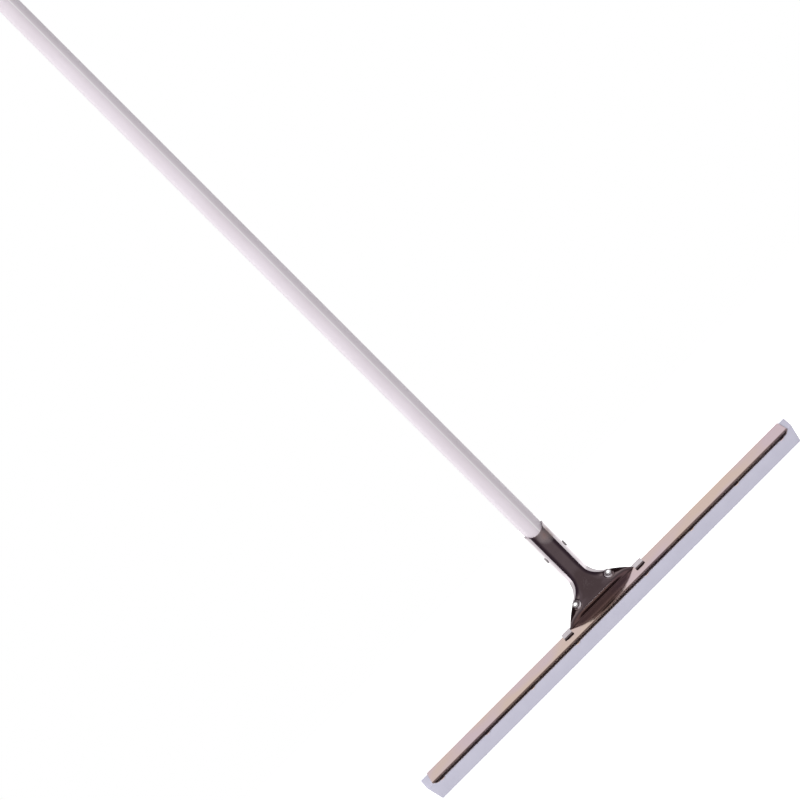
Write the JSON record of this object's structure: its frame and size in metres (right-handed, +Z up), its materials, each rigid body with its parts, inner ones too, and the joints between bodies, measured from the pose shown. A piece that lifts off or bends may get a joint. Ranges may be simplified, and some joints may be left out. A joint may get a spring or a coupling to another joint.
{
  "type": "window cleaning squeegee",
  "caption": "Long-handled window squeegee: a round aluminium pole in a pressed-steel fan socket that carries a wide rubber blade in a metal channel.",
  "frame": {"origin": "centre of the hanging eye at the pole's upper end, on the pole's axis", "axes": "+Z up the pole away from the blade, +X along the blade, -Y the front, towards which the channel's face slopes down"},
  "size_m": [0.549, 0.0313, 1.5137],
  "materials": {
    "pole": "satin anodised",
    "cap": "moulded, lightly grained",
    "socket": "bright nickel-plated pressed steel",
    "fastener": "bright zinc-plated steel",
    "channel": "bright rolled steel strip",
    "blade_rubber": "smooth white-grey cellular rubber",
    "core": "plain steel strip"
  },
  "bodies": {
    "pole_and_head": {"pole_tube": "pole", "pole_end_cap": "cap", "socket_front_shell": "socket", "socket_rear_shell": "socket", "pole_rivet": "fastener", "wing_eyelets": "fastener", "blade_channel": "channel"},
    "blade_rubber": {"rubber_strip": "blade_rubber", "rubber_core": "core"}
  },
  "joints": [
    {"name": "blade_slide", "type": "slide", "parent": "pole_and_head", "child": "blade_rubber", "axis": [1, 0, 0], "range_m": [-0.5, 0.5]}
  ]
}
